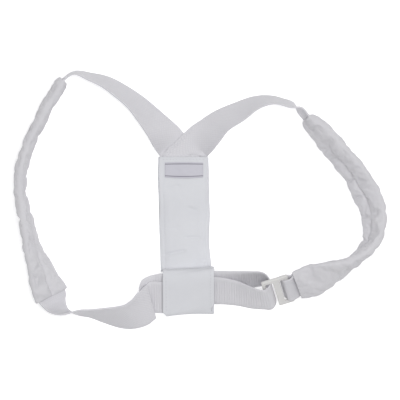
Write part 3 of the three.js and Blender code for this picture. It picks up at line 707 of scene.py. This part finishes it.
def makePad(name, node, route, dents, pad):
    places = spread(route["rows"], route["padFrom"], route["padTo"], padLook["step"])
    frames = [strapFrame(route, at) for at in places]
    run = runLengths([f["centre"] for f in frames])
    total = run[-1]
    # The first and last two rows turn into the mouth that holds the webbing.
    rows = [("inside", 0), ("mouth", 0)] + [("skin", i) for i in range(len(frames))]
    rows += [("mouth", len(frames) - 1), ("inside", len(frames) - 1)]
    sewn = {}

    # How full one tube is at a place along it, from 0 at a quilting tack to 1 between tacks.
    def quilted(index, tube):
        seed = Vector((run[index] / 40, tube * 3, pad["seed"]))
        turn = run[index] / padLook["quilt"] + tube * padLook["quiltShift"]
        turn += noise.noise(seed) * padLook["quiltDrift"]
        return abs(math.sin(math.pi * turn)) ** 0.5

    def place(row, share):
        kind, index = rows[row]
        spot = frames[index]
        side, width = sleeveSpot(share, padLook["crowding"])
        along = run[index] / total
        fromEnd = min(along, 1 - along) * total
        tapered = pad["taper"] if along < 0.5 else 0
        slim = 1 - tapered * (1 - smooth(0, padLook["taper"], fromEnd))
        if kind != "skin":
            inward = padLook["mouthDepth"] if kind == "inside" else 0
            push = spot["along"] * inward * (1 if index == 0 else -1)
            mouthHalf = pad["mouths"][0] if index == 0 else pad["mouths"][1]
            flatness = mouthHalf * side * min(1, (1 - abs(width)) * 40)
            reach = padLook["slotHalf"] * mix(1, padLook["slotNarrow"], tapered)
            return spot["centre"] + push + spot["square"] * width * reach + spot["normal"] * flatness
        fade = channelFade(pad, along)
        full = tubeShare(width, mix(padLook["channel"], 1, fade)) * padLook["bulge"]
        for dent in dents:
            near = math.exp(-(((along - dent["along"]) / dent["reach"]) ** 2))
            onTube = max(0, 1 - abs(width - dent["tube"] * 0.5) * 1.6)
            if side == dent["face"]:
                full *= 1 - dent["depth"] * near * onTube
        tuft = quilted(index, 1 if width > 0 else -1)
        full *= 1 - padLook["quiltThin"] * (1 - tuft) * (1 - 0.5 * fade)
        # Thin creases that run off the channel.
        seed = Vector((run[index] / padLook["creaseLong"], width * 2.2 + side * 5, pad["seed"] + 4))
        line = 1 - abs(noise.noise(seed)) * padLook["creaseSharp"]
        full *= 1 - max(0, line) ** 3 * padLook["crease"] * smooth(0, 0.3, full)
        thinnest = pad["ends"][0] if along < 0.5 else pad["ends"][1]
        rise = math.sqrt(1 - (1 - min(1, fromEnd / padSize["endRound"])) ** 2)
        full *= mix(thinnest, 1, rise)
        edge = slim * (1 - padLook["quiltNarrow"] * (1 - tuft) * smooth(0.3, 1, abs(width)))
        return (spot["centre"] + spot["square"] * width * edge * padSize["width"] / 2
                + spot["normal"] * side * full * padSize["thick"] / 2)

    def hold(row, share):
        kind, index = rows[row]
        width = sleeveSpot(share, padLook["crowding"])[1]
        fade = channelFade(pad, run[index] / total)
        if kind != "skin" or min(index, len(frames) - 1 - index) < 2:
            return 1
        if abs(width) < padLook["sewnHalf"] and fade < 0.5:
            return 1
        return 1 if abs(width) > padLook["selvedge"] else 0

    lengths = [run[index] for _, index in rows]
    around = 2 * padSize["width"] + padSize["thick"]
    bm = clothGrid(len(rows), padLook["around"], place, lengths, around, closed=True, hold=(hold, sewn))
    closeEnds(bm)
    inflate(bm, sewn)
    skin = BVHTree.FromBMesh(bm)
    piece = makePiece(name, bm, padCloth, "pad_cover", node)
    finer = piece.modifiers.new("finer", "SUBSURF")
    finer.levels = 1
    finer.render_levels = 1
    print(name, "length", round(total), "mm")
    # Lines of stitches down the channel, on both faces of the filled cover.
    seams = []
    for side in (1, -1):
        points, ups = [], []
        for index in range(3, len(frames) - 3):
            if channelFade(pad, run[index] / total) > 0.3:
                continue
            up = frames[index]["normal"] * side
            outside = frames[index]["centre"] + up * padSize["thick"] * 2
            found = skin.ray_cast(outside * mm, -up)[0]
            points.append(found / mm + up * padLook["threadLift"])
            ups.append(up)
        seams.append((points, ups))
    makeSeams(name + "_stitches", "pad_cover", seams)


makePad("left_shoulder_pad", "shoulder_pad_left", leftRoute, leftDents, leftPad)
makePad("right_shoulder_pad", "shoulder_pad_right", rightRoute, rightDents, rightPad)

# Elastic: one closed ribbed band through the keeper and round the hook's open bar.

elasticLook = {
    "ribPitch": 2.9, "ribDepth": 0.5, "ribRound": 0.6, "ribSink": 0.6, "perRib": 6,
    "columns": 8, "selvedge": 0.05, "thick": 1.2,
}

hookLift = (hookLook["arm"] + hookLook["slotSpare"] / 2) * math.sin(hookTilt)
flapThick = 2
onFlap = flapThick + tape["gap"] + tape["elastic"] / 2
flapShift = 5.2
flapLeft = flapShift - panelSize["width"] / 2
flapRight = flapShift + panelSize["width"] / 2

elasticRows = table(("x", "y", "lean", "bearing", "foot"), [
    (east(0.399), south(0.747), 54, 99, onFloor + 0.65 * hookLift),
    (east(0.341), south(0.709), 48, 93, onFloor + 0.2 * hookLift),
    (east(0.268), south(0.656), 41, 91, onFloor),
    (flapRight, south(0.622), 34, 90, onFlap),
    (flapShift, south(0.642), 25, 90, onFlap),
    (flapLeft, south(0.666), 17, 91, onFlap),
    (west(0.201), south(0.666), 17, 91, onFloor),
    (west(0.231), south(0.7), 17, 95, onFloor),
    (west(0.256), south(0.752), 18, 100, onFloor),
    (west(0.269), south(0.771), 18.5, 102, onFloor),
    (west(0.273), south(0.743), 19, 102, onFloor),
    (west(0.269), south(0.704), 19, 101, onFloor),
    (west(0.256), south(0.656), 18.5, 99, onFloor),
    (west(0.225), south(0.623), 17.5, 96, onFloor),
    (west(0.183), south(0.602), 17, 93, onFloor),
    (flapLeft, south(0.59), 17.5, 90, onFlap),
    (flapShift, south(0.579), 25.5, 90, onFlap),
    (flapRight, south(0.567), 35, 90, onFlap),
    (east(0.268), south(0.567), 50, 91, onFloor),
    (east(0.341), south(0.567), 58, 93, onFloor),
    (east(0.404), south(0.573), 64, 99, onFloor),
    (east(0.436), south(0.607), 58, 106, onFloor + 0.25 * hookLift),
    (east(0.451), south(0.661), 53, 107.5, onFloor + 0.7 * hookLift),
    (east(0.446), south(0.707), 51, 107.5, onFloor + hookLift),
    (east(0.428), south(0.741), 51, 106, onFloor + hookLift),
])


def elasticPair(at):
    lean, bearing = (math.radians(rowValue(elasticRows, at, name, True)) for name in ("lean", "bearing"))
    across = Vector((
        math.cos(lean) * math.cos(bearing), math.cos(lean) * math.sin(bearing), math.sin(lean)))
    foot = rowValue(elasticRows, at, "foot", True)
    rim = Vector((
        rowValue(elasticRows, at, "x", True), rowValue(elasticRows, at, "y", True),
        foot + tape["width"] * math.sin(lean)))
    return rim - across * tape["width"], rim


def makeElastic():
    step = elasticLook["ribPitch"] / elasticLook["perRib"]
    coarse = [elasticPair(at) for at in spread(elasticRows, 0, len(elasticRows), step, True)]
    pairs = coarse + coarse[:1]
    lengths = runLengths([(foot + rim) / 2 for foot, rim in pairs])
    ribs = round(lengths[-1] / elasticLook["ribPitch"])

    def place(row, share):
        row = row % (len(pairs) - 1)
        foot, rim = pairs[row]
        normal = bandNormal(pairs[row - 1] if row else pairs[-2], pairs[row], pairs[row + 1])
        turn = lengths[row] / lengths[-1] * ribs * math.pi
        rib = abs(math.sin(turn)) ** elasticLook["ribRound"] - elasticLook["ribSink"]
        rib *= smooth(0, elasticLook["selvedge"], min(share, 1 - share))
        return foot.lerp(rim, share) + normal * rib * elasticLook["ribDepth"]

    bm = clothGrid(len(pairs), elasticLook["columns"], place, lengths, tape["width"], closed=True)
    bmesh.ops.recalc_face_normals(bm, faces=bm.faces)
    piece = makePiece("ribbed_elastic_band", bm, elasticCloth, "elastic", "elastic_loop")
    thicken(piece, elasticLook["thick"], 0.35, 1)
    print("elastic length", round(lengths[-1]), "mm")


makeElastic()

# Keeper: the panel's lower end folded up over the elastic.

keeperLook = {
    "rows": 90, "columns": 40, "thick": 1.9, "room": 1, "foldLeft": 3.8, "foldRight": 10.6,
    "foldRadius": 2.9, "frontRadius": 6, "backRadius": 3.5, "toeRadius": 1.5, "toe": 1.5,
    "hem": 5, "hemRise": 0.45, "sag": 0.35, "seam": 0.065, "corner": 3, "cornerIn": 0.12,
}


# A line through corners, each rounded by a curve of its own reach.
def softLine(x, corners):
    points = [Vector((x, corner[0], corner[1])) for corner in corners]
    line = [points[0]]
    for index in range(1, len(points) - 1):
        corner = points[index]
        sides = []
        for side in (points[index - 1], points[index + 1]):
            reach = min(corners[index][2], (corner - side).length * 0.48)
            sides.append(corner + (side - corner).normalized() * reach)
        for part in range(9):
            share = part / 8
            start, end = sides[0] * (1 - share) ** 2, sides[1] * share ** 2
            line.append(start + corner * 2 * share * (1 - share) + end)
    return line + [points[-1]]


def keeperLine(x, front, back, foldRoom):
    half = flapThick / 2
    over = tape["elastic"] / 2 + keeperLook["room"] + half
    foldY = front[0].y - foldRoom
    wallY = back[1].y + over * 0.95
    toeZ = panelSize["thick"] + tape["gap"] + half
    radius = keeperLook["foldRadius"]
    return softLine(x, [
        (panelEnd - tape["gap"], half),
        (foldY, half, radius),
        (foldY, half + 2 * radius, radius),
        (front[1].y - 1, front[1].z + over * 1.25, keeperLook["frontRadius"]),
        (wallY, back[1].z + over * 1.1, keeperLook["backRadius"]),
        (wallY + over * 0.3, toeZ, keeperLook["toeRadius"]),
        (wallY + over * 0.3 + keeperLook["toe"], toeZ),
    ])


# The same line with points evenly about one step apart.
def evenLine(line, count):
    lengths = runLengths(line)
    points, index = [], 0
    for part in range(count):
        goal = lengths[-1] * part / (count - 1)
        while index < len(line) - 2 and lengths[index + 1] < goal:
            index += 1
        span = max(lengths[index + 1] - lengths[index], tiny)
        points.append(line[index].lerp(line[index + 1], clamp((goal - lengths[index]) / span)))
    return points


def makeKeeper():
    left = keeperLine(flapLeft, elasticPair(5), elasticPair(15), keeperLook["foldLeft"])
    right = keeperLine(flapRight, elasticPair(3), elasticPair(17), keeperLook["foldRight"])
    count = keeperLook["rows"]
    pairs = list(zip(evenLine(left, count), evenLine(right, count)))
    lengths = runLengths([(one + two) / 2 for one, two in pairs])
    foldY = min(one.y for one, two in pairs)

    def outward(row):
        return -bandNormal(pairs[max(row - 1, 0)], pairs[row], pairs[min(row + 1, count - 1)])

    def place(row, share):
        foot, rim = pairs[row]
        normal = outward(row)
        atFold = math.exp(-(((foot.y - foldY) / keeperLook["corner"]) ** 2))
        share = mix(share, 0.5, atFold * keeperLook["cornerIn"])
        fromSide = min(share, 1 - share) * panelSize["width"]
        hem = (1 - smooth(keeperLook["hem"] - 0.8, keeperLook["hem"], fromSide)) * keeperLook["hemRise"]
        seen = smooth(0.42, 0.5, row / count)
        wave = noise.noise(Vector((share * 2.2, lengths[row] / 22, 5.5)))
        sag = (0.5 + 0.5 * wave) * keeperLook["sag"]
        return foot.lerp(rim, share) + normal * (hem + sag) * seen

    bm = clothGrid(count, keeperLook["columns"], place, lengths, panelSize["width"])
    piece = makePiece("keeper_fold", bm, panelCloth, "panel_fabric", "keeper_flap")
    thicken(piece, keeperLook["thick"], 0.6)
    seams = []
    for share in (keeperLook["seam"], 1 - keeperLook["seam"]):
        rows = range(round(count * 0.5), count - 8, 2)
        ups = [outward(row) for row in rows]
        points = [place(row, share) + up * keeperLook["thick"] / 2 for row, up in zip(rows, ups)]
        seams.append((points, ups))
    makeSeams("keeper_hem_stitches", "panel_fabric", seams)


makeKeeper()
print("keeper folded")

# Spine panel: padded strip with sewn margins and a pocket for the straps.

panelLook = {
    "rows": 110, "around": 84, "crowding": 0.5, "margin": 5, "stitchDip": 0.7, "puff": 0.5,
    "topSeam": 0.022, "mouthSpare": 0.75, "thinnest": 0.4,
}

panelRows = table(("down", "sway", "width", "height", "flat"), [
    (0, -0.012, 0.98, mouthThick, 1),
    (0.03, -0.012, 1, mouthThick, 1),
    (0.09, -0.008, 1, mouthThick, 1),
    (0.22, 0.002, 0.99, mouthThick * 0.97, 0.6),
    (0.34, 0.012, 0.99, panelSize["thick"] * 1.2, 0),
    (0.5, 0.006, 0.98, panelSize["thick"], 0),
    (0.7, 0.01, 0.96, panelSize["thick"], 0),
    (0.86, 0.028, 0.98, panelSize["thick"], 0),
    (1, 0.045, 1, panelSize["thick"], 0),
])
# Creases in the panel's face, from one point to another in mm, each with its depth and width.
panelCreases = table(("x1", "y1", "x2", "y2", "depth", "wide"), [
    (-23, -49, 0, -45, 1.7, 1.5),
    (3, -29.5, 18, -29.5, 1.3, 1.5),
    (14, -56, 23, -55.5, 0.9, 1.3),
    (6, 4.5, 15, 1.5, 1, 1.4),
    (-13, 60, 14, 60, 0.8, 1.3),
    (-20, 27, -6, 30, 0.8, 1.4),
    (-21, -20, -8, -17, 0.8, 1.5),
])


def creaseDepth(x, y):
    depth = 0
    for crease in panelCreases:
        start, end = Vector((crease["x1"], crease["y1"])), Vector((crease["x2"], crease["y2"]))
        run = end - start
        share = clamp((Vector((x, y)) - start).dot(run) / run.length_squared)
        away = (Vector((x, y)) - start - run * share).length
        depth += crease["depth"] * math.exp(-((away / crease["wide"]) ** 2))
    return depth


def panelPoint(down, width, top):
    at = down * (len(panelRows) - 1)
    half = rowValue(panelRows, at, "width") * panelSize["width"] / 2
    middle = rowValue(panelRows, at, "sway") * panelSize["width"]
    flat = clamp(rowValue(panelRows, at, "flat"))
    x = middle + width * half
    y = panelTop - down * (panelTop - panelEnd)
    if not top:
        return Vector((x, y, 0))
    fromSide = (1 - abs(width)) * half
    padded = mix(0.3, 1, smooth(0, 12, fromSide)) if fromSide > 2 else 0.3 * math.sqrt(clamp(fromSide / 2))
    boxy = math.sqrt(clamp(fromSide / 1.6)) if fromSide < 1.6 else 1
    height = rowValue(panelRows, at, "height") * mix(padded, boxy, flat)
    seam = math.exp(-(((fromSide - panelLook["margin"]) / 0.8) ** 2)) * panelLook["stitchDip"]
    puff = noise.noise(Vector((x / 16, y / 13, 2.2))) * panelLook["puff"]
    puff += noise.noise(Vector((x / 6, y / 5, 8.2))) * panelLook["puff"] * 0.3
    inner = smooth(0, 8, fromSide)
    z = height - seam - creaseDepth(x, y) * inner + puff * inner
    return Vector((x, y, max(panelLook["thinnest"], z)))


def makePanel():
    steps = panelLook["rows"]
    rows = [("skin", 1 - index / steps) for index in range(steps + 1)] + [("mouth", 0), ("inside", 0)]
    length = panelTop - panelEnd

    def place(row, share):
        kind, down = rows[row]
        side, width = sleeveSpot(share, panelLook["crowding"])
        if kind == "skin":
            return panelPoint(down, width, side > 0)
        half = tape["width"] * math.sqrt(2) / 2 + panelLook["mouthSpare"]
        y = panelTop - (panelSize["pocket"] if kind == "inside" else 0)
        bottom, roof = panelSize["layer"], mouthThick - panelSize["layer"]
        z = mix((roof + bottom) / 2, roof if side > 0 else bottom, min(1, (1 - abs(width)) * 20))
        return Vector((width * half, y, z))

    lengths = [(1 - down) * length for _, down in rows]
    bm = clothGrid(len(rows), panelLook["around"], place, lengths, 2 * panelSize["width"], closed=True)
    closeEnds(bm)
    piece = makePiece("padded_spine_panel", bm, panelCloth, "panel_fabric", "spine_panel")
    seams = []
    inner = 1 - panelLook["margin"] / (panelSize["width"] / 2)
    for width in (-inner, inner):
        seams.append([panelPoint(part / 60, width, True) for part in range(2, 48)])
    seams.append([panelPoint(panelLook["topSeam"], part / 20, True) for part in range(-17, 18)])
    up = Vector((0, 0, 1))
    makeSeams("panel_stitches", "panel_fabric", [(points, [up] * len(points)) for points in seams])


makePanel()
print("spine panel made")

# Label: a bare woven tag sewn on by its two ends.

labelLook = {
    "wide": 44, "high": 17, "drop": 6.6, "rows": 45, "columns": 30, "thick": 0.5,
    "arch": 0.8, "wrinkle": 0.5, "spread": 1.6, "border": 1.1, "borderThick": 0.12, "inset": 1.3,
}


def makeLabel():
    rowCount = labelLook["rows"]
    top = panelTop - labelLook["drop"]
    lengths = [labelLook["wide"] * row / (rowCount - 1) for row in range(rowCount)]

    def place(row, share):
        across = row / (rowCount - 1)
        x = -labelLook["wide"] / 2 + lengths[row]
        y = top - labelLook["high"] * (1 - share)
        ends = math.sin(math.pi * across)
        arch = labelLook["arch"] * ends * (0.6 + 0.4 * math.sin(math.pi * share))
        arch += noise.noise(Vector((x / 7, y / 4, 1.7))) * labelLook["wrinkle"] * ends
        y += ends * (share - 0.7) * labelLook["spread"]
        return Vector((x, y, mouthThick + tape["gap"] + labelLook["thick"] / 2 + arch))

    def borderPlace(offset):
        strip = labelLook["border"] / labelLook["high"]
        lift = Vector((0, 0, labelLook["thick"] / 2 + 0.04))
        return lambda row, share: place(row, offset + share * strip) + lift

    bm = clothGrid(rowCount, labelLook["columns"], place, lengths, labelLook["high"])
    piece = makePiece("woven_tag", bm, labelCloth, "label", "label")
    thicken(piece, labelLook["thick"], 0.15, 1)
    inset = labelLook["inset"] / labelLook["high"]
    for name, offset in (("lower", inset), ("upper", 1 - inset - labelLook["border"] / labelLook["high"])):
        bm = clothGrid(rowCount, 2, borderPlace(offset), lengths, labelLook["border"])
        strip = makePiece("woven_tag_border_" + name, bm, borderCloth, "label")
        thicken(strip, labelLook["borderThick"], 0.04, 1)
    up = Vector((0, 0, 1))
    seams = []
    for row in (1, rowCount - 2):
        points = [place(row, part / 12) + up * labelLook["thick"] / 2 for part in range(1, 12)]
        seams.append((points, [up] * len(points)))
    makeSeams("label_stitches", "label", seams)


makeLabel()
print("label made")

# Hook: one moulded frame with a closed slot and an open bar.


def roundEdges(bm, edges, offset, segments):
    bmesh.ops.bevel(
        bm, geom=edges, offset=offset, affect="EDGES", segments=segments, profile=0.5, material=-1,
    )


def makeHook():
    alongLines = [openOuter, openInner, -slotStart, slotStart, slotEnd, frameEnd]
    tip = -slotHalf + hookLook["tipShort"]
    acrossLines = [-hookHalf, -slotHalf, tip, slotHalf, hookHalf]
    bm = bmesh.new()
    bmesh.ops.create_grid(bm, x_segments=len(alongLines) - 1, y_segments=len(acrossLines) - 1, size=0.5)
    for vert in bm.verts:
        column = round((vert.co.x + 0.5) * (len(alongLines) - 1))
        row = round((vert.co.y + 0.5) * (len(acrossLines) - 1))
        vert.co = Vector((alongLines[column], acrossLines[row], -hookLook["thick"] / 2))
    holes = []
    for face in bm.faces:
        centre = face.calc_center_median()
        inSlot = slotStart < centre.x < slotEnd and abs(centre.y) < slotHalf
        inMouth = openInner < centre.x < -slotStart and centre.y < slotHalf
        belowBar = centre.x < openInner and centre.y < tip
        if inSlot or inMouth or belowBar:
            holes.append(face)
    bmesh.ops.delete(bm, geom=holes, context="FACES")
    grown = bmesh.ops.extrude_face_region(bm, geom=bm.faces[:])
    risen = [item for item in grown["geom"] if isinstance(item, bmesh.types.BMVert)]
    bmesh.ops.translate(bm, verts=risen, vec=(0, 0, hookLook["thick"]))
    bmesh.ops.recalc_face_normals(bm, faces=bm.faces)
    upright = []
    for edge in bm.edges:
        if abs((edge.verts[0].co - edge.verts[1].co).z) > 1 and edge.calc_face_angle(0) > 1:
            upright.append(edge)
    roundEdges(bm, upright, hookLook["corner"], 5)
    sharp = [edge for edge in bm.edges if edge.calc_face_angle(0) > math.radians(50)]
    roundEdges(bm, sharp, hookLook["edge"], 3)
    turn = Matrix((hookAlong, hookAcross, hookFront)).transposed().to_4x4()
    bmesh.ops.transform(bm, matrix=Matrix.Translation(hookCentre) @ turn, verts=bm.verts)
    bmesh.ops.scale(bm, vec=(mm, mm, mm), verts=bm.verts)
    piece = makePiece("moulded_hook", bm, hookPlastic, "buckle_plastic", "hook_buckle")
    finish = piece.modifiers.new("weighted", "WEIGHTED_NORMAL")
    finish.keep_sharp = True


makeHook()
print("hook made")

# Floor, light and camera.

# View is the photo's width in mm, and centre its middle, measured from the brace's origin.
studio = {
    "floor": "#f7f7f7", "glow": 0.36, "world": 0.32, "key": 55, "fill": 5, "lampSize": 1.6,
    "cameraHeight": 6, "sharpHeight": 0.015, "view": 460, "centre": (16 * 1.15, 12 * 1.15), "sensor": 36,
}

bpy.ops.mesh.primitive_plane_add(size=14, location=(0, 0, -0.0004))
floor = bpy.context.object
floor.name = "floor"
# A matt white acrylic board lit from below, so it stays white and shows hardly any shadow.
floorPaint, _, floorShader = newMaterial("lit white acrylic board")
floorShader.inputs["Base Color"].default_value = linear(studio["floor"])
floorShader.inputs["Roughness"].default_value = 0.9
floorShader.inputs["Emission Color"].default_value = (1, 1, 1, 1)
floorShader.inputs["Emission Strength"].default_value = studio["glow"]
floor.data.materials.append(floorPaint)

world = bpy.data.worlds.new("soft studio")
bpy.context.scene.world = world
world.use_nodes = True
world.node_tree.nodes["Background"].inputs["Color"].default_value = (1, 1, 1, 1)
world.node_tree.nodes["Background"].inputs["Strength"].default_value = studio["world"]


def areaLight(name, power, size, position, goal=Vector((0.02, 0, 0))):
    data = bpy.data.lights.new(name, "AREA")
    data.energy = power
    data.size = size
    lamp = bpy.data.objects.new(name, data)
    lamp.location = position
    lamp.rotation_mode = "QUATERNION"
    lamp.rotation_quaternion = (Vector(position) - goal).to_track_quat("Z", "Y")
    bpy.context.scene.collection.objects.link(lamp)


areaLight("key", studio["key"], studio["lampSize"], (0.38, 0.1, 2.8))
areaLight("fill", studio["fill"], studio["lampSize"], (-0.8, 1.1, 2.0))

lens = bpy.data.cameras.new("camera")
camera = bpy.data.objects.new("camera", lens)
camera.location = [place * mm for place in studio["centre"]] + [studio["cameraHeight"]]
lens.sensor_width = studio["sensor"]
lens.lens = studio["sensor"] * (studio["cameraHeight"] - studio["sharpHeight"]) / (studio["view"] * mm)
lens.clip_end = 50
bpy.context.scene.collection.objects.link(camera)
bpy.context.scene.camera = camera
bpy.context.scene.view_settings.view_transform = "Standard"
